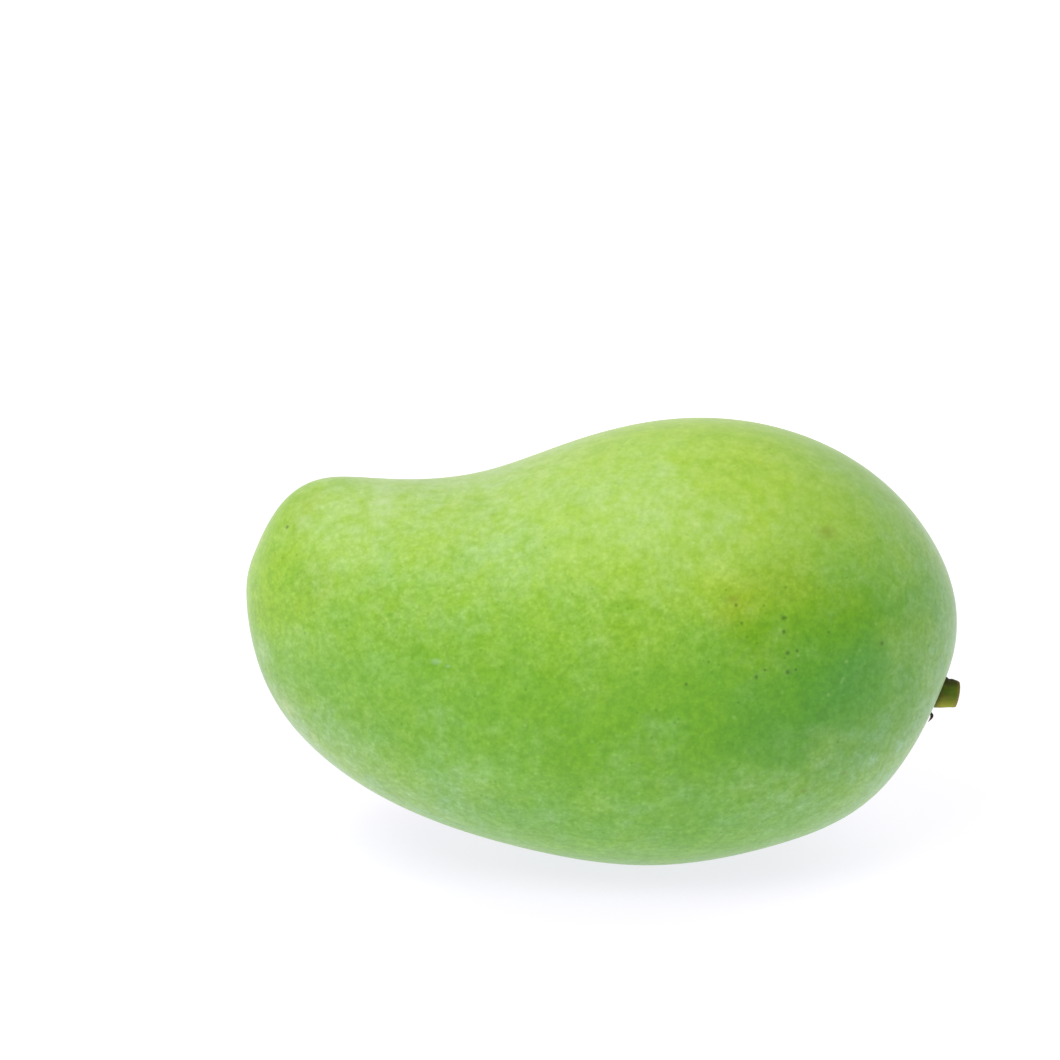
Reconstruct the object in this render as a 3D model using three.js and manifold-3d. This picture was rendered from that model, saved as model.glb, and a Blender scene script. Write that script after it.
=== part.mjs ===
// A whole green mango lying on its back edge, with the cut stub of its stalk and the dry remnant
// of the calyx round it. Millimetres, +Z up, X from the tip of the fruit to its stalk. The fruit
// is symmetric about the plane y = 0 apart from slight unevenness of its cheeks.
import * as THREE from "three";
import { mergeVertices } from "three/addons/utils/BufferGeometryUtils.js";
import Module from "manifold-3d";

const wasm = await Module();
wasm.setup();

// Driving dimensions
const HALF_LENGTH = 67.8; // half of the fruit's length
const HALF_THICKNESS = 36; // from the middle plane out to a cheek
const TAPER_TO_TIP = 3; // by how much the tip end is thinner, and the stalk end thicker
const LOWER_FULLNESS = 0.09; // how much broader the lower half of a section is than the upper
const SECTION_FULLNESS = 0.13; // how much squarer than an ellipse a section is
const BEAK_PINCH = 0.32; // how much the ridge of the beak narrows a section's top
const BEAK_X = -52;
const BEAK_SPREAD = 15;
const REST_FLAT_DEPTH = 0.6; // height of the slice that the small flat spot below takes off

// The fruit's outline in the middle plane, as [x, height], from the tip round over the top
const PROFILE = [
  [-HALF_LENGTH, 52.5], // tip
  [-66, 60.6],
  [-61, 69.6],
  [-53, 74.6], // beak
  [-43.5, 74.5],
  [-33, 74], // hollow behind the beak
  [-21.5, 75.6],
  [-6, 81],
  [8, 84.8],
  [20, 85.8], // top of the shoulder
  [35.5, 83.4],
  [52.5, 74.5],
  [62, 64],
  [HALF_LENGTH, 46.5], // stalk end
  [63.2, 30.2],
  [53.6, 14.7],
  [33, 3.7],
  [9, 0], // belly
  [-14, 3.3],
  [-36.5, 10.6],
  [-56.5, 23.6],
  [-65.5, 38.4],
];
const STALK_END = PROFILE.findIndex(([x]) => x === HALF_LENGTH);

// The stalk's stub: its foot on the skin, the way the skin faces there and the way it points
const STALK_FOOT = new THREE.Vector3(64.3, -1.4, 32.8);
const SKIN_FACING = new THREE.Vector3(1, -0.05, -0.44).normalize();
const STALK_AXIS = new THREE.Vector3(1, 0.02, -0.15).normalize();
const STALK_ROOT_DEPTH = 2.4; // how deep it stands in its socket
const STALK_ROOT_RADIUS = 3.1;
const STALK_SHAPE = [
  // [distance out from the skin, radius], flared at the foot
  [0, 3.1],
  [0.9, 3.2],
  [2, 3.05],
  [3.2, 2.8],
  [4.3, 2.6],
  [5.2, 2.45],
];
const STALK_LENGTH = STALK_SHAPE.at(-1)[0];
const STALK_FLUTING = 0.05; // rise of its three low ribs, as a share of the radius
const FIT_GAP = 0.3; // clearance between separate pieces
const DIMPLE_DEPTH = 1.1; // shallow hollow of the skin round the stalk
const DIMPLE_RADIUS = 5.5;

// Dry ring of the calyx round the stalk's foot, with one curled sepal left on its lower side
const CALYX_INNER_RADIUS = 3.85;
const CALYX_OUTER_RADIUS = 4.65;
const CALYX_HEIGHT = 0.8;
const CALYX_LIFT = 0.6; // of the ring above the bottom of the hollow
const SEPAL_LENGTH = 1.5;
const SEPAL_WIDTH = 1.5;
const SEPAL_THICKNESS = 0.7;
const SEPAL_CURL = 1.7; // how far the tip stands away from the skin
const SEPAL_TURN = 0.6; // its angle round the stalk from straight down, towards -Y

// Even steps of the meshes
const STATIONS = 60; // rings from tip to stalk end
const RING_POINTS = 60; // points round each ring
const STALK_SIDES = 28;

// Closed smooth curve of height over angle through [angle, height] knots: a periodic cubic
// spline, whose second derivatives are settled by repeated averaging.
function periodicSpline(knots) {
  const n = knots.length;
  const turn = 2 * Math.PI;
  const width = knots.map(([a], i) => (knots[(i + 1) % n][0] - a + turn) % turn);
  const slope = knots.map(([, v], i) => (knots[(i + 1) % n][1] - v) / width[i]);
  const bend = new Array(n).fill(0);
  const SWEEPS = 200;
  for (let sweep = 0; sweep < SWEEPS; sweep++)
    for (let i = 0; i < n; i++) {
      const before = (i + n - 1) % n;
      const pull = width[before] * bend[before] + width[i] * bend[(i + 1) % n];
      bend[i] = (6 * (slope[i] - slope[before]) - pull) / (2 * (width[before] + width[i]));
    }
  return (angle) => {
    const a = ((angle % turn) + turn) % turn;
    let i = n - 1;
    for (let k = 0; k < n - 1; k++) if (a >= knots[k][0] && a < knots[k + 1][0]) i = k;
    const j = (i + 1) % n;
    const w = width[i];
    const past = (a - knots[i][0] + turn) % turn;
    const left = w - past;
    return (
      (bend[i] * left ** 3 + bend[j] * past ** 3) / (6 * w) +
      (knots[i][1] / w - (bend[i] * w) / 6) * left +
      (knots[j][1] / w - (bend[j] * w) / 6) * past
    );
  };
}

// The outline as height over the angle whose cosine gives x, which rounds off both ends
function outlineHeight() {
  const knots = PROFILE.map(([x, z], i) => {
    const angle = Math.acos(-x / HALF_LENGTH);
    return [i <= STALK_END ? angle : 2 * Math.PI - angle, z];
  });
  return periodicSpline(knots);
}

const bell = (distance, spread) => Math.exp(-((distance / spread) ** 2));

// Slight unevenness of the cheeks, as a share of their thickness
function unevenness(x, z, side) {
  const long = Math.sin(0.062 * x + 1.9 * side + 0.4) * Math.cos(0.071 * z - 0.8 * side);
  const short = Math.sin(0.121 * x - 0.087 * z + 2.3 + 1.1 * side);
  return 0.009 * long + 0.004 * short;
}

// Moves a point of the skin into the shallow hollow round the stalk
function sinkRoundStalk(point) {
  const depth = DIMPLE_DEPTH * bell(point.distanceTo(STALK_FOOT), DIMPLE_RADIUS);
  return point.addScaledVector(SKIN_FACING, -depth);
}

// Point of the skin at an angle along the fruit (0 tip, pi stalk end) and an angle round a ring
const heightAt = outlineHeight();
function skinPoint(along, round) {
  const top = heightAt(along);
  const bottom = heightAt(-along);
  const x = -HALF_LENGTH * Math.cos(along);
  const up = Math.sin(round);
  const z = (top + bottom) / 2 + ((top - bottom) / 2) * up;
  const thickness = Math.sin(along) * (HALF_THICKNESS - TAPER_TO_TIP * Math.cos(along));
  const pinch = BEAK_PINCH * bell(x - BEAK_X, BEAK_SPREAD) * Math.max(0, up) ** 3;
  const section = 1 - LOWER_FULLNESS * up + SECTION_FULLNESS * up * up - pinch;
  const y = thickness * Math.cos(round) * section;
  const uneven = 1 + unevenness(x, z, Math.cos(round));
  return sinkRoundStalk(new THREE.Vector3(x, y * uneven, z));
}

// A closed mesh from rings of points, with a point at either end. Each ring is a list that runs
// clockwise as seen from the last point.
function closedRings(first, rings, last) {
  const count = rings[0].length;
  const points = [first, ...rings.flat(), last];
  const end = points.length - 1;
  const faces = [];
  const at = (ring, k) => 1 + ring * count + (k % count);
  for (let k = 0; k < count; k++) {
    faces.push(0, at(0, k), at(0, k + 1));
    for (let ring = 0; ring < rings.length - 1; ring++) {
      faces.push(at(ring, k), at(ring + 1, k), at(ring + 1, k + 1));
      faces.push(at(ring, k), at(ring + 1, k + 1), at(ring, k + 1));
    }
    faces.push(end, at(rings.length - 1, k + 1), at(rings.length - 1, k));
  }
  const geometry = new THREE.BufferGeometry().setFromPoints(points);
  return geometry.setIndex(faces);
}

// Solid for cutting and joining, and back
function solidOf(geometry) {
  const bare = geometry.clone();
  bare.deleteAttribute("normal");
  bare.deleteAttribute("uv");
  const merged = mergeVertices(bare, 1e-4);
  return new wasm.Manifold(
    new wasm.Mesh({
      numProp: 3,
      vertProperties: merged.attributes.position.array,
      triVerts: new Uint32Array(merged.index.array),
    }),
  );
}

function geometryOf(solid) {
  const mesh = solid.getMesh();
  const geometry = new THREE.BufferGeometry();
  geometry.setAttribute("position", new THREE.BufferAttribute(mesh.vertProperties, 3));
  geometry.setIndex(new THREE.BufferAttribute(mesh.triVerts, 1));
  return geometry;
}

// Matrix that stands a piece made along +Z in the bottom of the hollow, along an axis there.
// It turns the piece's +X nearly straight down.
function onFoot(axis, lift = 0) {
  const turn = new THREE.Quaternion().setFromUnitVectors(new THREE.Vector3(0, 0, 1), axis);
  const foot = STALK_FOOT.clone().addScaledVector(SKIN_FACING, -DIMPLE_DEPTH);
  foot.addScaledVector(axis, lift);
  return new THREE.Matrix4().compose(foot, turn, new THREE.Vector3(1, 1, 1));
}

function fruitGeometry() {
  const rings = [];
  for (let s = 1; s < STATIONS; s++) {
    const along = (Math.PI * s) / STATIONS;
    const ring = [];
    for (let k = 0; k < RING_POINTS; k++)
      ring.push(skinPoint(along, (-2 * Math.PI * k) / RING_POINTS));
    rings.push(ring);
  }
  let fruit = solidOf(closedRings(skinPoint(0, 0), rings, skinPoint(Math.PI, 0)));

  const socket = new THREE.CylinderGeometry(
    STALK_ROOT_RADIUS + FIT_GAP,
    STALK_ROOT_RADIUS + FIT_GAP,
    4 * STALK_ROOT_DEPTH,
    STALK_SIDES,
  );
  socket.rotateX(Math.PI / 2);
  socket.applyMatrix4(onFoot(STALK_AXIS, STALK_ROOT_DEPTH - FIT_GAP));
  fruit = fruit.subtract(solidOf(socket));

  const SLAB = 20;
  const slab = new THREE.BoxGeometry(4 * HALF_LENGTH, 4 * HALF_LENGTH, SLAB);
  slab.translate(0, 0, REST_FLAT_DEPTH - SLAB / 2);
  return geometryOf(fruit.subtract(solidOf(slab)));
}

// Ring of points round +Z at a height, clockwise as seen from above, from its radius by angle
function ringAt(height, radiusAt) {
  const ring = [];
  for (let k = 0; k < STALK_SIDES; k++) {
    const a = (-2 * Math.PI * k) / STALK_SIDES;
    const radius = radiusAt(a);
    ring.push(new THREE.Vector3(radius * Math.cos(a), radius * Math.sin(a), height));
  }
  return ring;
}

function stalkGeometry() {
  const root = ringAt(-STALK_ROOT_DEPTH, () => STALK_ROOT_RADIUS);
  const outside = STALK_SHAPE.map(([height, radius]) => {
    const rib = (STALK_FLUTING * height) / STALK_LENGTH;
    return ringAt(height, (a) => radius * (1 + rib * Math.cos(3 * a + 0.6)));
  });
  const rootEnd = new THREE.Vector3(0, 0, -STALK_ROOT_DEPTH);
  const cutEnd = new THREE.Vector3(0, 0, STALK_LENGTH);
  return closedRings(rootEnd, [root, ...outside], cutEnd).applyMatrix4(onFoot(STALK_AXIS));
}

// Thin blade that runs out along +X from inside the ring and curls up
function sepalGeometry() {
  const STEPS = 8;
  const SIDES = 10;
  const start = (CALYX_INNER_RADIUS + CALYX_OUTER_RADIUS) / 2;
  const spot = (t) =>
    new THREE.Vector3(start + SEPAL_LENGTH * t, 0, CALYX_HEIGHT / 2 + SEPAL_CURL * t * t);
  const rings = [];
  for (let s = 0; s < STEPS; s++) {
    const t = s / STEPS;
    const narrowing = Math.sqrt(1 - t * t);
    const middle = spot(t);
    const ring = [];
    for (let k = 0; k < SIDES; k++) {
      const a = (-2 * Math.PI * k) / SIDES;
      const across = (SEPAL_WIDTH / 2) * narrowing * Math.cos(a);
      const thick = (SEPAL_THICKNESS / 2) * Math.sqrt(narrowing) * Math.sin(a);
      ring.push(new THREE.Vector3(middle.x, across, middle.z + thick));
    }
    rings.push(ring);
  }
  return closedRings(spot(0), rings, spot(1)).rotateZ(-SEPAL_TURN);
}

function calyxGeometry() {
  const CORNERS = 12;
  const middle = (CALYX_INNER_RADIUS + CALYX_OUTER_RADIUS) / 2;
  const reach = (CALYX_OUTER_RADIUS - CALYX_INNER_RADIUS) / 2;
  const section = [];
  for (let k = 0; k <= CORNERS; k++) {
    const a = (2 * Math.PI * (k % CORNERS)) / CORNERS;
    const height = (CALYX_HEIGHT / 2) * (1 + Math.sin(a));
    section.push(new THREE.Vector2(middle + reach * Math.cos(a), height));
  }
  const ring = solidOf(new THREE.LatheGeometry(section, STALK_SIDES).rotateX(Math.PI / 2));
  const calyx = geometryOf(ring.add(solidOf(sepalGeometry())));
  return calyx.applyMatrix4(onFoot(SKIN_FACING, CALYX_LIFT));
}

// Each node's solid, with its material
const skin = new THREE.MeshStandardMaterial({ color: 0x84b945, roughness: 0.5, metalness: 0 });
const bark = new THREE.MeshStandardMaterial({ color: 0x6b7426, roughness: 0.75, metalness: 0 });
const dry = new THREE.MeshStandardMaterial({ color: 0x3a2c1a, roughness: 0.9, metalness: 0 });

function named(name, geometry, material) {
  const mesh = new THREE.Mesh(geometry, material);
  mesh.name = name;
  return mesh;
}

const mango = new THREE.Group();
mango.add(named("fruit", fruitGeometry(), skin));
mango.add(named("stalk", stalkGeometry(), bark));
mango.add(named("calyx_remnant", calyxGeometry(), dry));

// The origin is under the middle of the whole, on the surface that the fruit rests on
const extent = new THREE.Box3().setFromObject(mango);
const middle = extent.getCenter(new THREE.Vector3());
mango.position.set(-middle.x, -middle.y, -extent.min.z);
export default mango;
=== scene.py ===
"""A whole green mango on a pale floor under soft studio light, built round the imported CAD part."""
import math

import bpy
import numpy as np
from mathutils import Matrix, Vector


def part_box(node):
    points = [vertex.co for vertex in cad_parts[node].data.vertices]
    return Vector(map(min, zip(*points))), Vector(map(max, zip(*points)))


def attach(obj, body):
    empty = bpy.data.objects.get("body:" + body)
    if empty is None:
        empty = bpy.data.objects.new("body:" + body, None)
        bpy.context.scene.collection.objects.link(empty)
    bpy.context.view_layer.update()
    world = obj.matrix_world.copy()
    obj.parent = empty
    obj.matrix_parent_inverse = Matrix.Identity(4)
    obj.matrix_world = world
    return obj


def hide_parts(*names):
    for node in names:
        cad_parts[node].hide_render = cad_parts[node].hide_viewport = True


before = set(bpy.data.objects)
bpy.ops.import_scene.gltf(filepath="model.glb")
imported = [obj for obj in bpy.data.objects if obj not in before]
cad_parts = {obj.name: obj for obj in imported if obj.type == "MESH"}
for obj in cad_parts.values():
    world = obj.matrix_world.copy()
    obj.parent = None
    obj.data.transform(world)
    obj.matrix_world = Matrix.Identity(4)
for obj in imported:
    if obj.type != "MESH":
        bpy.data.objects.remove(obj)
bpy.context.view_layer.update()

MM = 0.001

# The fruit's form, as in the part's source
HALF_LENGTH = 67.8 * MM
HALF_THICKNESS = 36 * MM
TAPER_TO_TIP = 3 * MM
LOWER_FULLNESS = 0.09
SECTION_FULLNESS = 0.13
BEAK_PINCH = 0.32
BEAK_X = -52 * MM
BEAK_SPREAD = 15 * MM
REST_FLAT_DEPTH = 0.6 * MM
DIMPLE_DEPTH = 1.1 * MM
DIMPLE_RADIUS = 5.5 * MM

# The skin is drawn a hair inside the solid, across its thickness and in its height
SHRINKAGE = (1, 0.998, 0.9995)

# The fruit's outline in the middle plane, as [x, height] in millimetres, from the tip round over the top
PROFILE = [
    [-67.8, 52.5],  # tip
    [-66, 60.6],
    [-61, 69.6],
    [-53, 74.6],  # beak
    [-43.5, 74.5],
    [-33, 74],  # hollow behind the beak
    [-21.5, 75.6],
    [-6, 81],
    [8, 84.8],
    [20, 85.8],  # top of the shoulder
    [35.5, 83.4],
    [52.5, 74.5],
    [62, 64],
    [67.8, 46.5],  # stalk end
    [63.2, 30.2],
    [53.6, 14.7],
    [33, 3.7],
    [9, 0],  # belly
    [-14, 3.3],
    [-36.5, 10.6],
    [-56.5, 23.6],
    [-65.5, 38.4],
]
STALK_END = 13  # its place in the outline

# The stalk: its foot on the skin, the way the skin faces there and the way it points
STALK_FOOT = Vector((64.3, -1.4, 32.8)) * MM
SKIN_FACING = Vector((1, -0.05, -0.44)).normalized()
STALK_AXIS = Vector((1, 0.02, -0.15)).normalized()

# The stalk and the calyx in their own millimetres. The stalk's shape is distance out, radius.
STALK_SHAPE = [[0, 3.15], [0.9, 3.3], [2, 3.18], [3.2, 2.96], [4.3, 2.8], [5.2, 2.68]]
STALK_ROOT = -1.2
STALK_FLUTING = 0.05
CUT_RINGS = (0.95, 0.84, 0.7, 0.56, 0.42, 0.28, 0.14)  # shares of the rim's radius
CALYX_MIDDLE = 4.25
CALYX_HALF_WIDTH = 0.4
CALYX_HEIGHT = 0.8
CALYX_LIFT = 0.6
SEPAL_TURN = 0.6
# The flake's course: share of its length, distance out from the stalk's axis, height, half its breadth
FLAKE = np.array([
    (0.0, 4.2, 0.3, 0.22),
    (0.25, 4.25, 0.95, 0.26),
    (0.5, 4.6, 1.4, 0.34),
    (0.7, 5.1, 1.4, 0.26),
    (0.85, 5.55, 1.25, 0.15),
    (1.0, 6.0, 1.1, 0.07),
])

# Camera and light, with the photograph's frame of 36 mm by 36 mm
CAMERA_ELEVATION = math.radians(15)
CAMERA_DISTANCE = 559 * MM
CAMERA_AIM = Vector((-14.2, 0, 64.1)) * MM
CAMERA_LENS = 100
SENSOR = 36

TURN = 2 * math.pi


def periodic_spline(angles, values):
    """A smooth closed curve of value over angle through the knots: a periodic cubic spline."""
    count = len(angles)
    width = np.diff(np.append(angles, angles[0] + TURN))
    slope = np.diff(np.append(values, values[0])) / width
    system = np.zeros((count, count))
    for i in range(count):
        system[i, i - 1] += width[i - 1]
        system[i, i] += 2 * (width[i - 1] + width[i])
        system[i, (i + 1) % count] += width[i]
    bend = np.linalg.solve(system, 6 * (slope - np.roll(slope, 1)))

    def value(angle):
        a = np.mod(angle - angles[0], TURN) + angles[0]
        i = np.searchsorted(angles, a, side="right") - 1
        j = (i + 1) % count
        past = a - angles[i]
        left = width[i] - past
        curve = (bend[i] * left**3 + bend[j] * past**3) / (6 * width[i])
        start = values[i] / width[i] - bend[i] * width[i] / 6
        end = values[j] / width[i] - bend[j] * width[i] / 6
        return curve + start * left + end * past

    return value


def outline_height():
    """Height of the outline over the angle whose cosine gives x, which rounds off both ends."""
    points = np.array(PROFILE) * MM
    angle = np.arccos(-points[:, 0] / HALF_LENGTH)
    angle[STALK_END + 1 :] = TURN - angle[STALK_END + 1 :]
    return periodic_spline(angle, points[:, 1])


height_at = outline_height()


def bell(distance, spread):
    return np.exp(-((distance / spread) ** 2))


def unevenness(x, z, side):
    """Slight unevenness of the cheeks, as a share of their thickness."""
    x, z = x / MM, z / MM
    long = np.sin(0.062 * x + 1.9 * side + 0.4) * np.cos(0.071 * z - 0.8 * side)
    short = np.sin(0.121 * x - 0.087 * z + 2.3 + 1.1 * side)
    return 0.009 * long + 0.004 * short


def skin(along, around):
    """Points of the skin, at angles along the fruit (0 tip, pi stalk end) and round a section."""
    top, bottom = height_at(along), height_at(-along)
    x = -HALF_LENGTH * np.cos(along)
    up = np.sin(around)
    z = (top + bottom) / 2 + (top - bottom) / 2 * up
    thickness = np.sin(along) * (HALF_THICKNESS - TAPER_TO_TIP * np.cos(along))
    pinch = BEAK_PINCH * bell(x - BEAK_X, BEAK_SPREAD) * np.maximum(0, up) ** 3
    section = 1 - LOWER_FULLNESS * up + SECTION_FULLNESS * up * up - pinch
    y = thickness * np.cos(around) * section * (1 + unevenness(x, z, np.cos(around)))
    points = np.stack([x, y, z], -1)
    from_foot = np.linalg.norm(points - np.array(STALK_FOOT), axis=-1)
    sunk = DIMPLE_DEPTH * bell(from_foot, DIMPLE_RADIUS)
    return points - sunk[..., None] * np.array(SKIN_FACING)


# The fruit's place in the frame: its tip at the low end of its node, its flat spot at zero height
fruit_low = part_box("fruit")[0]
OFFSET = Vector((fruit_low.x + HALF_LENGTH, 0, -REST_FLAT_DEPTH))


def cheek_point(x_mm, height_mm, side=-1):
    """The point of the skin at that x and height, in the frame. Side -1 is the cheek that faces -Y."""
    along = math.acos(-x_mm * MM / HALF_LENGTH)
    top, bottom = float(height_at(along)), float(height_at(-along))
    up = (2 * height_mm * MM - top - bottom) / (top - bottom)
    around = math.asin(up) if side > 0 else math.pi - math.asin(up)
    return Vector(skin(np.array(along), np.array(around))) + OFFSET


def mesh_object(name, points, faces, material):
    """A smooth mesh object, linked to the scene."""
    mesh = bpy.data.meshes.new(name)
    mesh.from_pydata([tuple(p) for p in points], [], faces)
    mesh.shade_smooth()
    mesh.materials.append(material)
    thing = bpy.data.objects.new(name, mesh)
    bpy.context.scene.collection.objects.link(thing)
    return thing


def rings_to_faces(count, per_ring):
    """Faces of rings of points in order, closed by a point before the first and one after the last.
    The rings run clockwise as seen from the last point."""
    last = 1 + count * per_ring
    faces = []
    for k in range(per_ring):
        n = (k + 1) % per_ring
        faces.append((0, 1 + k, 1 + n))
        for ring in range(count - 1):
            a, b = 1 + ring * per_ring, 1 + (ring + 1) * per_ring
            faces.append((a + k, b + k, b + n, a + n))
        end = 1 + (count - 1) * per_ring
        faces.append((last, end + n, end + k))
    return faces


# Shader graphs
def srgb(code):
    """A linear colour from its six hexadecimal digits."""
    parts = [int(code[i : i + 2], 16) / 255 for i in (0, 2, 4)]
    linear = [c / 12.92 if c <= 0.04045 else ((c + 0.055) / 1.055) ** 2.4 for c in parts]
    return (*linear, 1)


class Graph:
    """Adds nodes to a material's or a world's tree. An input is a number, a colour or a node's output."""

    def __init__(self, owner, shader="Principled BSDF", coordinates="Object"):
        owner.use_nodes = True
        self.owner = owner
        self.tree = owner.node_tree
        self.shader = self.tree.nodes[shader]
        self.place = self.tree.nodes.new("ShaderNodeTexCoord").outputs[coordinates]

    def feed(self, socket, value):
        if isinstance(value, bpy.types.NodeSocket):
            self.tree.links.new(value, socket)
        else:
            socket.default_value = value

    def put(self, kind, settings, inputs):
        node = self.tree.nodes.new(kind)
        for name, value in settings.items():
            setattr(node, name, value)
        for name, value in inputs.items():
            self.feed(node.inputs[name], value)
        return node

    def noise(self, size, detail=2, roughness=0.5, where=None, output="Fac"):
        """Smooth noise from 0 to 1 whose features are about that size, in metres."""
        inputs = {"Vector": where or self.place, "Scale": 1 / size, "Detail": detail, "Roughness": roughness}
        return self.put("ShaderNodeTexNoise", {}, inputs).outputs[output]

    def cells(self, size):
        """Scattered points about that far apart: the distance to the nearest, in shares of that size,
        and its random colour."""
        node = self.put("ShaderNodeTexVoronoi", {}, {"Vector": self.place, "Scale": 1 / size})
        return node.outputs["Distance"], node.outputs["Color"]

    def ramp(self, value, low, high, to_low=0.0, to_high=1.0):
        """Takes low to to_low and high to to_high, eased and held beyond them."""
        inputs = {"Value": value, "From Min": low, "From Max": high, "To Min": to_low, "To Max": to_high}
        settings = {"interpolation_type": "SMOOTHSTEP"}
        return self.put("ShaderNodeMapRange", settings, inputs).outputs["Result"]

    def math(self, operation, a, b):
        return self.put("ShaderNodeMath", {"operation": operation}, {0: a, 1: b}).outputs[0]

    def times(self, a, b):
        return self.math("MULTIPLY", a, b)

    def vector(self, operation, a, b):
        return self.put("ShaderNodeVectorMath", {"operation": operation}, {0: a, 1: b}).outputs["Vector"]

    def stops(self, value, colours):
        """A colour that runs smoothly through [value, colour] stops, given in rising order."""
        low, span = colours[0][0], colours[-1][0] - colours[0][0]
        share = self.put("ShaderNodeMapRange", {}, {"Value": value, "From Min": low, "From Max": low + span})
        node = self.put("ShaderNodeValToRGB", {}, {0: share.outputs["Result"]})
        node.color_ramp.interpolation = "CARDINAL"
        elements = node.color_ramp.elements
        while len(elements) < len(colours):
            elements.new(0.5)
        for element, (at, shade) in zip(elements, colours):
            element.position = (at - low) / span
            element.color = shade
        return node.outputs["Color"]

    def mix(self, factor, a, b, blend="MIX"):
        settings = {"data_type": "RGBA", "blend_type": blend}
        return self.put("ShaderNodeMix", settings, {0: factor, 6: a, 7: b}).outputs[2]

    def tint(self, colour, value, low, high, darker, lighter, share=1.0):
        """Multiplies a colour by one tint where a value is low and by another where it is high."""
        by = self.mix(self.ramp(value, low, high), (*darker, 1), (*lighter, 1))
        return self.mix(share, colour, by, "MULTIPLY")

    def axis(self, name, where=None):
        """The X, Y or Z of a vector."""
        return self.put("ShaderNodeSeparateXYZ", {}, {0: where or self.place}).outputs[name]

    def length(self, vector):
        return self.put("ShaderNodeVectorMath", {"operation": "LENGTH"}, {0: vector}).outputs["Value"]

    def near(self, point, reach, where=None, strength=1.0, solid=0.0, stretch=(1, 1, 1)):
        """The strength at a point, falling to 0 at that reach, and full within the solid share of it."""
        away = self.vector("SUBTRACT", where or self.place, tuple(point))
        distance = self.length(self.vector("DIVIDE", away, tuple(reach * s for s in stretch)))
        return self.ramp(distance, solid, 1, strength, 0.0)

    def bump(self, height, distance, over=None):
        inputs = {"Height": height, "Distance": distance}
        if over is not None:
            inputs["Normal"] = over
        return self.put("ShaderNodeBump", {}, inputs).outputs["Normal"]

    def set(self, **inputs):
        """Sets or links the shader's own sockets, named with underscores for spaces."""
        for name, value in inputs.items():
            self.feed(self.shader.inputs[name.replace("_", " ")], value)


# Skin colours: those at each height, then those that they turn to in places
# The paler stops at 67 and 75 mm paint a soft highlight along the upper side
HEIGHT_COLOURS = [
    # The paler low stops are bloom, partly a painted reflection of the floor
    (8 * MM, srgb("81bd3c")),
    (17 * MM, srgb("7eb945")),
    (25 * MM, srgb("7fb83a")),
    (34 * MM, srgb("71ad16")),
    (48 * MM, srgb("7fb430")),
    (60 * MM, srgb("93bf42")),
    (67 * MM, srgb("a4c958")),
    (75 * MM, srgb("aacc66")),
    (84 * MM, srgb("a6cb46")),
]
DEEP_GREEN = srgb("519a04")
BLUE_GREEN = srgb("4f9345")
TIP_GREEN = srgb("8cb800")
YELLOW_GREEN = srgb("94b800")
LEAF_GREEN = srgb("72a800")
GOLDEN_GREEN = srgb("a2c624")
OLIVE = srgb("a2b41c")
PALE_GREEN = srgb("a6ca80")
# Waxy bloom, which low down and at the stalk end also stands for a painted reflection of the white floor
BLOOM_AND_SHEEN = srgb("a0c884")
BLUSH = srgb("bfb088")
PALE_DOT = srgb("c4ea8c")
SPECK = srgb("2c4600")
BROWN = srgb("76780c")
SCAR = srgb("a3c49a")
# A pale green for painted sheen: the highlight behind the beak and the reflection along the tip's lower rim
PAINTED_SHEEN = srgb("c3d9a4")

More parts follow.
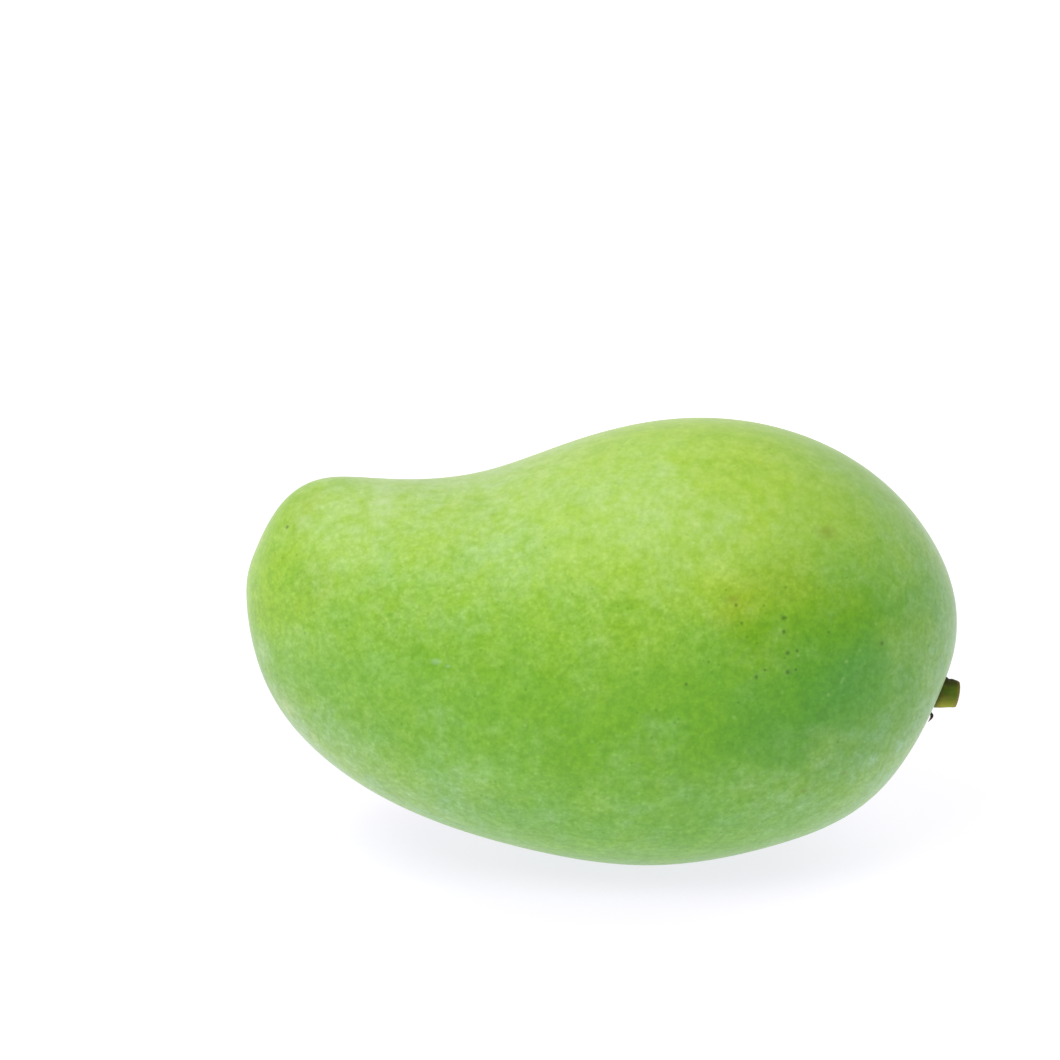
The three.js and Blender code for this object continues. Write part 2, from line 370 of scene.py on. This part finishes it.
# Areas of the near cheek that turn to a colour of their own, some of it painted highlight and sheen: x and
# height, reach, colour, strength
NEAR_AREAS = [
    (24, 60.5, 9, OLIVE, 0.5),
    (32, 60, 14, YELLOW_GREEN, 0.3),
    # Pale patches low on the tip: bloom, partly a painted reflection of the floor
    (-45, 23, 21, PALE_GREEN, 0.42),
    (-57, 36, 12, PALE_GREEN, 0.35),
    (49, 25, 18, BLOOM_AND_SHEEN, 0.55),
    (27, 79, 21, GOLDEN_GREEN, 0.6),
    (27, 50, 12, LEAF_GREEN, 0.6),
    (17, 64, 8, GOLDEN_GREEN, 0.35),
    (-53, 61, 8, BLUSH, 0.1),
    (33, 64, 9, OLIVE, 0.4),
    (42, 57, 11, YELLOW_GREEN, 0.3),
    (57, 51, 9, YELLOW_GREEN, 0.3),
    (42, 73, 12, GOLDEN_GREEN, 0.4),
    (44, 14, 12, BLOOM_AND_SHEEN, 0.3),
    (26, 36, 11, BLUE_GREEN, 0.2),
    # Painted highlight: a soft pale patch high on the near cheek
    (-20, 66, 13, PALE_GREEN, 0.32),
    (-27, 20, 15, BLOOM_AND_SHEEN, 0.35),
    (32, 19, 14, BLOOM_AND_SHEEN, 0.25),
    (-8, 33, 12, DEEP_GREEN, 0.12),
    (38, 50, 12, DEEP_GREEN, 0.25),
    (46, 45, 9, BLUE_GREEN, 0.4),
    (41, 38, 9, BLUE_GREEN, 0.3),
    (-37, 56, 9, YELLOW_GREEN, 0.2),
    (-57, 70, 8, BLUSH, 0.12),
    # Painted highlight in the hollow behind the beak
    (-42, 66, 9, PALE_GREEN, 0.1),
    (30, 52, 8, LEAF_GREEN, 0.5),
    (50, 51, 6, YELLOW_GREEN, 0.3),
    (32, 33, 7, PALE_GREEN, 0.13),
    (39, 30, 9, DEEP_GREEN, 0.35),
    (56, 32, 6, BLOOM_AND_SHEEN, 0.25),
    (-26, 45, 7, BLOOM_AND_SHEEN, 0.15),
    (17, 25, 7, BLOOM_AND_SHEEN, 0.2),
    (36, 63, 7, LEAF_GREEN, 0.15),
    # Painted reflection: the pale lower rim of the tip, where the skin mirrors the white surroundings
    (-64, 45.5, 6, PAINTED_SHEEN, 0.4),
    (-60.5, 36.5, 7, PAINTED_SHEEN, 0.4),
    (-58.5, 31, 8, PAINTED_SHEEN, 0.4),
    (-55, 26, 7, PAINTED_SHEEN, 0.4),
    (-50, 21.5, 6, PAINTED_SHEEN, 0.2),
]
FAR_AREAS = [
    (-5, 56, 22, YELLOW_GREEN, 0.35),
    (38, 40, 18, BLUE_GREEN, 0.4),
    (18, 66, 9, OLIVE, 0.4),
    (-34, 30, 18, DEEP_GREEN, 0.3),
    (-52, 34, 16, PALE_GREEN, 0.35),
    (52, 34, 13, BLOOM_AND_SHEEN, 0.35),
]
# Small marks of the near cheek, then the far cheek's specks: x, height, reach
DARK_SPECKS = [
    (-59.1, 67.5, 0.66),
    (23.4, 59.2, 0.6),
    (32.1, 56.5, 0.72),
    (32.1, 54.1, 0.6),
    (50.8, 49.8, 0.72),
    (32.9, 50.3, 0.66),
    (34.6, 50.5, 0.48),
    (32.9, 46.8, 0.72),
    (34.4, 47.1, 0.48),
    (27.1, 46.3, 0.6),
    (28.7, 47.5, 0.42),
    (14.4, 45.5, 0.54),
]
BROWN_SMUDGES = [
    (44.3, 25.3, 1.0),
    (36.8, 22.6, 0.9),
    (22.8, 60.2, 1.3),
    (40.5, 70.2, 2.6),
]
GREEN_SMUDGES = [
    (-39.3, 55.3, 1.1),
    (-39.2, 61.7, 0.8),
    (23.6, 55.6, 0.7),
    (26.2, 49.4, 0.7),
    (5.5, 47.5, 1.0),
]
SCAR_PLACES = [(-30.8, 47.9, 1.5), (-28.6, 47.3, 0.7)]
FAR_SPECKS = [
    (20.5, 52.0, 0.6),
    (22.8, 49.4, 0.45),
    (-8.0, 63.5, 0.5),
    (-31.0, 44.0, 0.55),
    (41.5, 58.0, 0.6),
    (5.2, 33.0, 0.5),
    (6.9, 34.6, 0.35),
]
# How far the noise moves the tones' edges when it is strongest
WANDER = 7 * MM
# The part of the near cheek where the fine dark pits show best
PITTED_PLACE = (30, 55)
# A painted highlight: the pale band behind the beak, on the upper side
BAND_PLACE = (-41, 72.6)


def skin_tones(g, place):
    """The slow changes of the skin's colour over its height and length, and in its areas, some of them
    painted highlight and sheen.
    """
    height = g.axis("Z", place)
    length = g.axis("X", place)
    colour = g.stops(height, HEIGHT_COLOURS)
    colour = g.mix(g.ramp(length, 0, -45 * MM, 0.0, 0.12), colour, PALE_GREEN)
    # Deeper towards the stalk, from further back the higher up
    leaning = g.math("SUBTRACT", length, g.times(g.math("SUBTRACT", height, 40 * MM), 0.35))
    deeper = g.ramp(leaning, 0, 44 * MM, 0.0, 0.88)
    deeper = g.times(deeper, g.ramp(height, 67 * MM, 50 * MM, 0.5, 1.0))
    deeper = g.times(deeper, g.ramp(height, 18 * MM, 34 * MM, 0.25, 1.0))
    colour = g.mix(deeper, colour, DEEP_GREEN)
    # Bloom with painted sheen at the stalk end, most low down, and yellower green at the upper tip
    end_bloom_and_sheen = g.ramp(length, 43 * MM, 64 * MM)
    end_bloom_and_sheen = g.times(end_bloom_and_sheen, g.ramp(height, 42 * MM, 62 * MM, 0.58, 0.25))
    colour = g.mix(end_bloom_and_sheen, colour, BLOOM_AND_SHEEN)
    tip = g.ramp(length, -51 * MM, -64 * MM)
    tip = g.times(tip, g.ramp(height, 42 * MM, 54 * MM, 0.0, 0.65))
    colour = g.mix(tip, colour, TIP_GREEN)
    for side, areas in ((-1, NEAR_AREAS), (1, FAR_AREAS)):
        for x, z, reach, shade, strength in areas:
            there = g.near(cheek_point(x, z, side), reach * MM, place, strength)
            colour = g.mix(there, colour, shade)
    return colour


def skin_marks(g, colour):
    """The skin's small marks, each in its place: a scar, brown and green smudges and dark specks."""
    for x, z, reach in SCAR_PLACES:
        there = g.near(cheek_point(x, z), reach * MM, strength=0.35, solid=0.3, stretch=(1, 1, 0.55))
        colour = g.mix(there, colour, SCAR)
    for x, z, reach in BROWN_SMUDGES:
        there = g.near(cheek_point(x, z), reach * MM, strength=0.4, stretch=(1.3, 1, 0.8))
        colour = g.mix(there, colour, BROWN)
    for x, z, reach in GREEN_SMUDGES:
        there = g.near(cheek_point(x, z), reach * MM, strength=0.5, stretch=(1, 1, 0.7))
        colour = g.mix(there, colour, DEEP_GREEN)
    for side, specks in ((-1, DARK_SPECKS), (1, FAR_SPECKS)):
        for x, z, reach in specks:
            there = g.near(cheek_point(x, z, side), reach * MM, strength=0.6, solid=0.1)
            colour = g.mix(there, colour, SPECK)
    return colour


def skin_material():
    g = Graph(bpy.data.materials.new("mango_skin"))
    wander = g.vector("SUBTRACT", g.noise(22 * MM, output="Color"), (0.5, 0.5, 0.5))
    wander = g.vector("MULTIPLY", wander, (2 * WANDER, 2 * WANDER, 2 * WANDER))
    colour = skin_tones(g, g.vector("ADD", g.place, wander))

    # Blotches of bloom and of deeper green, then clouds, mottling, the fine uneven grain and dark pits.
    # The finer ones are clearest below the bright upper side.
    blotches = g.noise(11 * MM, detail=4, roughness=0.62)
    colour = g.mix(g.ramp(blotches, 0.48, 0.75, 0.0, 0.22), colour, PALE_GREEN)
    colour = g.mix(g.ramp(blotches, 0.5, 0.25, 0.0, 0.2), colour, DEEP_GREEN)
    clear = g.ramp(g.axis("Z"), 76 * MM, 54 * MM, 0.5, 1.0)
    clouds = g.noise(7 * MM)
    colour = g.tint(colour, clouds, 0.3, 0.7, (1.04, 1.01, 0.76), (0.96, 0.99, 1.24), g.times(clear, 0.7))
    mottle = g.noise(2.8 * MM, detail=3, roughness=0.6)
    colour = g.tint(colour, mottle, 0.25, 0.75, (0.9, 0.95, 0.6), (1.1, 1.05, 1.4))
    grain = g.noise(1.15 * MM, roughness=0.65)
    colour = g.tint(colour, grain, 0.25, 0.75, (0.84, 0.89, 0.7), (1.16, 1.11, 1.3), clear)
    pit_distance, pit_chance = g.cells(1.9 * MM)
    pits = g.times(g.ramp(pit_distance, 0.28, 0.06), g.axis("Y", pit_chance))
    pitted = g.times(clear, g.ramp(g.near(cheek_point(*PITTED_PLACE), 30 * MM), 0, 1, 0.6, 1.0))
    colour = g.tint(colour, pits, 0.25, 0.9, (1, 1, 1), (0.62, 0.72, 0.45), pitted)
    # Faint streaks along the fruit, clearest on its underside
    streaks = g.noise(1.7 * MM, where=g.vector("MULTIPLY", g.place, (0.3, 1, 1)))
    streaked = g.tint(colour, streaks, 0.3, 0.7, (0.94, 0.96, 0.86), (1.06, 1.04, 1.14))
    colour = g.mix(g.ramp(g.axis("Z"), 50 * MM, 18 * MM, 0.3, 1.0), colour, streaked)

    # Fine pale dots, and a few larger ones
    dots = g.ramp(g.cells(1.0 * MM)[0], 0.5, 0.0)
    colour = g.tint(colour, dots, 0.0, 1.0, (0.98, 0.98, 0.96), (1.1, 1.07, 1.22), clear)
    dot_distance, dot_chance = g.cells(2.9 * MM)
    chosen = g.ramp(g.axis("X", dot_chance), 0.3, 1.0, 0.0, 0.2)
    colour = g.mix(g.times(g.ramp(dot_distance, 0.2, 0.03), chosen), colour, PALE_DOT)

    # A painted highlight: the pale band behind the beak, patchy and stretched across the fruit
    band = g.near(cheek_point(*BAND_PLACE), 5 * MM, solid=0.1, stretch=(0.75, 2.6, 1.3))
    patchiness = g.ramp(g.noise(1.8 * MM, detail=3), 0.35, 0.7, 0.2, 0.6)
    colour = g.mix(g.times(band, patchiness), colour, PAINTED_SHEEN)
    colour = skin_marks(g, colour)

    relief = g.bump(dots, 0.02 * MM)
    relief = g.bump(grain, 0.03 * MM, over=relief)
    relief = g.bump(blotches, 0.25 * MM, over=relief)
    g.set(
        Base_Color=colour,
        Roughness=g.ramp(mottle, 0.2, 0.8, 0.44, 0.54),
        Normal=relief,
        Subsurface_Weight=0.1,
        Subsurface_Radius=(0.6, 1.0, 0.25),
        Subsurface_Scale=2 * MM,
        Specular_IOR_Level=0.2,
        Coat_Weight=0.55,
        Coat_Roughness=0.3,
        Coat_IOR=1.4,
        Sheen_Weight=0.1,
        Sheen_Roughness=0.5,
    )
    return g.owner


def fruit_skin(material):
    """The whole skin as one closed mesh on an even grid of angles."""
    stations, sides = 340, 256
    along = np.linspace(0, math.pi, stations + 2)[1:-1]
    around = -TURN * np.arange(sides) / sides
    grid_along, grid_around = np.meshgrid(along, around, indexing="ij")
    points = skin(grid_along, grid_around).reshape(-1, 3)
    ends = [skin(np.array(0.0), np.array(0.0)), skin(np.array(math.pi), np.array(0.0))]
    points = np.vstack([ends[0][None], points, ends[1][None]])
    points *= np.array(SHRINKAGE)
    # The small flat spot that the fruit rests on
    points[:, 2] = np.maximum(points[:, 2], REST_FLAT_DEPTH)
    points += np.array(OFFSET)
    return mesh_object("mango_skin", points, rings_to_faces(stations, sides), material)


def foot_matrix(axis, lift=0.0):
    """Matrix that stands a piece made along +Z in the hollow round the stalk, along an axis there.
    It turns the piece's +X nearly straight down and leaves its -Y on the near side."""
    foot = STALK_FOOT - SKIN_FACING * DIMPLE_DEPTH + axis * lift + OFFSET
    turn = Vector((0, 0, 1)).rotation_difference(axis)
    return Matrix.Translation(foot) @ turn.to_matrix().to_4x4()


def placed(points, matrix):
    """Points of a piece, given in its own millimetres, at their place in the frame."""
    return [matrix @ (Vector(p) * MM) for p in points]


def own_place(g, matrix):
    """Coordinates along a piece's own axes, for a piece whose points that matrix has placed."""
    location, turn, _ = matrix.decompose()
    inputs = {"Vector": g.place, "Location": location, "Rotation": turn.to_euler()}
    return g.put("ShaderNodeMapping", {"vector_type": "TEXTURE"}, inputs).outputs[0]


def waves(angle, shares):
    """A sum of waves round a ring, from the count, phase and height of each."""
    return sum(height * np.cos(count * angle + phase) for count, phase, height in shares)


# Colours of the stalk and the calyx
BARK_GREEN = srgb("4a620c")
BARK_OLIVE = srgb("5f6616")
BARK_FRESH = srgb("5f7d1c")
BARK_BELOW = srgb("a3a334")
BARK_ABOVE = srgb("3a3016")
BARK_FLECK = srgb("7c7147")
# Darker bark at the foot next to the skin, partly painted shade
BARK_FOOT_AND_SHADE = srgb("33380f")
BARK_RIM = srgb("94783e")
WOOD_DARK = srgb("86703f")
WOOD_PALE = srgb("b39a60")
PITH = srgb("64502c")
CUT_RIM = srgb("4f4a22")
CALYX_DARK = srgb("1c170f")
CALYX_BROWN = srgb("4c3a22")
FLAKE_END = srgb("8f6050")


def bark_material(matrix):
    g = Graph(bpy.data.materials.new("mango_stalk_bark"))
    place = own_place(g, matrix)
    down, out = g.axis("X", place), g.axis("Z", place)
    lengthwise = g.vector("MULTIPLY", place, (1, 1, 0.22))
    streaks = g.noise(0.9 * MM, detail=3, roughness=0.6, where=lengthwise)
    flecks = g.noise(1.4 * MM, detail=4, roughness=0.65, where=place)
    colour = g.mix(g.ramp(streaks, 0.38, 0.62), BARK_GREEN, BARK_OLIVE)
    colour = g.mix(g.ramp(out, 2 * MM, 4.5 * MM, 0.0, 0.5), colour, BARK_FRESH)
    colour = g.mix(g.ramp(down, -0.2 * MM, 2.7 * MM, 0.0, 0.9), colour, BARK_BELOW)
    colour = g.mix(g.ramp(down, -1.4 * MM, -2.8 * MM, 0.0, 0.8), colour, BARK_ABOVE)
    colour = g.mix(g.ramp(flecks, 0.55, 0.75, 0.0, 0.5), colour, BARK_FLECK)
    # Darker towards the foot, next to the skin: partly the bark's colour, partly painted shade
    colour = g.mix(g.ramp(out, 2.2 * MM, 0.9 * MM, 0.0, 0.6), colour, BARK_FOOT_AND_SHADE)
    colour = g.mix(g.ramp(out, 4.3 * MM, 5.1 * MM, 0.0, 0.65), colour, BARK_RIM)
    relief = g.bump(streaks, 0.12 * MM)
    relief = g.bump(flecks, 0.06 * MM, over=relief)
    rough = g.ramp(flecks, 0.3, 0.7, 0.65, 0.85)
    g.set(Base_Color=colour, Roughness=rough, Normal=relief, Specular_IOR_Level=0.2)
    return g.owner


def cut_material(matrix):
    """The cut end: rings of pale wood round a darker pith, under a dark rim."""
    g = Graph(bpy.data.materials.new("mango_stalk_cut"))
    place = own_place(g, matrix)
    from_axis = g.length(g.vector("MULTIPLY", place, (1, 1, 0)))
    fibres = g.noise(0.45 * MM, detail=3, roughness=0.6, where=place)
    uneven = g.math("ADD", from_axis, g.times(fibres, 0.3 * MM))
    colour = g.mix(g.ramp(fibres, 0.3, 0.7), WOOD_DARK, WOOD_PALE)
    colour = g.mix(g.ramp(uneven, 0.95 * MM, 0.6 * MM, 0.0, 0.8), colour, PITH)
    colour = g.mix(g.ramp(uneven, 1.9 * MM, 2.35 * MM, 0.0, 0.9), colour, CUT_RIM)
    g.set(Base_Color=colour, Roughness=0.85, Normal=g.bump(fibres, 0.1 * MM))
    return g.owner


def stalk_stub():
    """The stub in one closed mesh: bark with low ribs and grooves, and a rough cut end."""
    matrix = foot_matrix(STALK_AXIS)
    sides = 144
    length = STALK_SHAPE[-1][0]
    shape = np.array([[STALK_ROOT, STALK_SHAPE[0][1] - 0.1]] + STALK_SHAPE)
    angle = -TURN * np.arange(sides) / sides
    rng = np.random.default_rng(4)
    points = [(0, 0, STALK_ROOT)]
    heights = np.linspace(STALK_ROOT, length - 0.08, 64)
    for h, r in zip(heights, np.interp(heights, shape[:, 0], shape[:, 1])):
        out = max(0, h) / length
        rib = STALK_FLUTING * out * np.cos(3 * angle + 0.6)
        grooves = 0.05 + waves(angle + 0.05 * h, [(11, 0.4, 0.02), (17, 1.9, 0.014), (29, 0.7, 0.01)])
        notch = 0.32 * bell(h - 3.3, 0.35) * bell(np.cos(angle) + 1, 0.12)
        lumps = 0.05 * (1 + waves(angle, [(2, 1.3 * h, 0.6), (5, 2.1 * h, 0.4)])) * out
        worn = 0.05 * bell(length - h, 0.15)
        radius = r * (1 + rib) - grooves - notch - lumps - worn
        points += [(x * math.cos(a), x * math.sin(a), h) for x, a in zip(radius, angle)]
    rim = radius
    cut_from = len(heights)
    for share in CUT_RINGS:
        dip = 0.12 * (1 - share**4) + 0.05 * rng.random(sides) * share
        radius = rim * share
        points += [(x * math.cos(a), x * math.sin(a), length - d) for x, a, d in zip(radius, angle, dip)]
    points.append((0, 0, length - 0.14))
    faces = rings_to_faces(cut_from + len(CUT_RINGS), sides)
    stub = mesh_object("stalk_stub", placed(points, matrix), faces, bark_material(matrix))
    stub.data.materials.append(cut_material(matrix))
    # The faces within the rim are the cut end
    for face in stub.data.polygons:
        face.material_index = int(min(face.vertices[:3]) > (cut_from - 1) * sides)
    return stub


def calyx_material(matrix):
    g = Graph(bpy.data.materials.new("mango_calyx"))
    place = own_place(g, matrix)
    from_axis = g.length(g.vector("MULTIPLY", place, (1, 1, 0)))
    dry = g.noise(0.8 * MM, detail=4, roughness=0.65, where=place)
    colour = g.mix(g.ramp(dry, 0.35, 0.7), CALYX_DARK, CALYX_BROWN)
    colour = g.mix(g.ramp(from_axis, 4.9 * MM, 5.9 * MM, 0.0, 0.85), colour, FLAKE_END)
    g.set(Base_Color=colour, Roughness=0.85, Normal=g.bump(dry, 0.15 * MM))
    return g.owner


def calyx_flake():
    """The one flake left of the calyx, crumpled and hooked back towards the skin, in its own millimetres."""
    steps, sides = 30, 28
    angle = -TURN * np.arange(sides) / sides
    shares = np.linspace(0, 1, steps)
    out, up, breadth = (np.interp(shares, FLAKE[:, 0], FLAKE[:, column]) for column in (1, 2, 3))
    course = np.stack([np.gradient(out), np.gradient(up)], -1)
    course /= np.linalg.norm(course, axis=-1)[:, None]
    points = [(out[0], 0, up[0])]
    for t, x, z, half, (right, rise) in zip(shares, out, up, breadth, course):
        ragged = half * (0.92 + 0.08 * np.cos(3 * angle + 9 * t) + 0.08 * math.cos(31 * t))
        deep = 1.15 - 0.5 * t
        for r, a in zip(ragged, angle):
            side = r * math.cos(a)
            points.append((x + rise * side, deep * r * math.sin(a), z - right * side))
    points.append((out[-1], 0, up[-1]))
    turn = Matrix.Rotation(-SEPAL_TURN, 3, "Z")
    return [turn @ Vector(p) for p in points], rings_to_faces(steps, sides)


def calyx_remnant():
    """The dry ring round the stalk's foot, broken and uneven, with its flake."""
    matrix = foot_matrix(SKIN_FACING, CALYX_LIFT * MM)
    turns, corners = 180, 16
    angle = TURN * np.arange(turns) / turns
    breadth = CALYX_HALF_WIDTH * (1.3 + waves(angle, [(5, 0.9, 0.35), (11, 2.0, 0.14), (23, 0.3, 0.09)]))
    rise = CALYX_HEIGHT * (0.34 + waves(angle, [(5, 2.4, 0.06), (3, 0.2, 0.04), (17, 1.1, 0.05)]))
    points, faces = [], []
    for i, a in enumerate(angle):
        for k in range(corners):
            c = TURN * k / corners
            r = CALYX_MIDDLE + breadth[i] * math.cos(c)
            points.append((r * math.cos(a), r * math.sin(a), rise[i] * (1 + math.sin(c)) - 0.2))
            j, m = (i + 1) % turns, (k + 1) % corners
            faces.append((i * corners + k, j * corners + k, j * corners + m, i * corners + m))
    flake_points, flake_faces = calyx_flake()
    first = len(points)
    points += flake_points
    faces += [tuple(first + v for v in face) for face in flake_faces]
    return mesh_object("calyx_ring", placed(points, matrix), faces, calyx_material(matrix))


# Stage
LIGHT_BEHIND_CAMERA = 0.3
LIGHT_OF_BACKDROP = 0.85
LIGHT_FROM_ABOVE = 0.55
KEY_PLACE = (-0.3, -0.4, 0.75)
KEY_SIZE = (0.6, 0.5)
KEY_POWER = 5
FRUIT_MIDDLE = (0, 0, 0.045)
FLOOR_HALF_SIZE = 6
FLOOR_GREY = (0.25, 0.25, 0.25, 1)
# The glow dims and takes a cool tint under and round the fruit: a painted shadow, tinted against the green
# light the fruit throws
GLOW_UNDER_FRUIT = (0.76, 0.725, 0.82, 1)
GLOW_ROUND_FRUIT = (0.835, 0.815, 0.875, 1)
GLOW_FAR = (1, 1, 1, 1)


def floor():
    """A white floor that glows, least in the fruit's shadow: the dimmer, tinted glow there paints that
    shadow.
    """
    g = Graph(bpy.data.materials.new("floor"))
    away = g.length(g.place)
    glow = g.mix(g.ramp(away, 0.03, 0.065), GLOW_UNDER_FRUIT, GLOW_ROUND_FRUIT)
    glow = g.mix(g.ramp(away, 0.08, 0.5), glow, GLOW_FAR)
    g.set(Base_Color=FLOOR_GREY, Roughness=0.8, Emission_Color=glow, Emission_Strength=1.0)
    half = FLOOR_HALF_SIZE
    points = [(-half, -half, 0), (half, -half, 0), (half, half, 0), (-half, half, 0)]
    return mesh_object("floor", points, [(0, 1, 2, 3)], g.owner)


def surroundings():
    """Soft light from all round: brightest behind the fruit, and dim behind the camera."""
    world = bpy.data.worlds.new("studio")
    g = Graph(world, "Background", "Generated")
    around = g.ramp(g.axis("Y"), -0.8, 0.5, LIGHT_BEHIND_CAMERA, LIGHT_OF_BACKDROP)
    g.set(Color=(1, 1, 1, 1), Strength=g.ramp(g.axis("Z"), 0.2, 0.85, around, LIGHT_FROM_ABOVE))
    bpy.context.scene.world = world


def softbox(name, position, size, power):
    light = bpy.data.lights.new(name, "AREA")
    light.shape = "RECTANGLE"
    light.size, light.size_y = size
    light.energy = power
    lamp = bpy.data.objects.new(name, light)
    bpy.context.scene.collection.objects.link(lamp)
    lamp.location = position
    facing = Vector(FRUIT_MIDDLE) - Vector(position)
    lamp.rotation_euler = facing.to_track_quat("-Z", "Y").to_euler()
    # The waxy skin mirrors only the white surroundings, softly, as in a light tent
    lamp.visible_glossy = False


def camera():
    data = bpy.data.cameras.new("camera")
    data.lens = CAMERA_LENS
    data.sensor_width = SENSOR
    thing = bpy.data.objects.new("camera", data)
    bpy.context.scene.collection.objects.link(thing)
    back = Vector((0, -math.cos(CAMERA_ELEVATION), math.sin(CAMERA_ELEVATION)))
    thing.location = CAMERA_AIM + back * CAMERA_DISTANCE
    thing.rotation_euler = (-back).to_track_quat("-Z", "Y").to_euler()
    bpy.context.scene.camera = thing


camera()
surroundings()
softbox("key", KEY_PLACE, KEY_SIZE, KEY_POWER)
floor()

body = fruit_skin(skin_material())
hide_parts("fruit")
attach(body, "root")

stub = stalk_stub()
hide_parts("stalk")
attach(stub, "root")

ring = calyx_remnant()
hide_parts("calyx_remnant")
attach(ring, "root")

bpy.context.scene.view_settings.view_transform = "Standard"
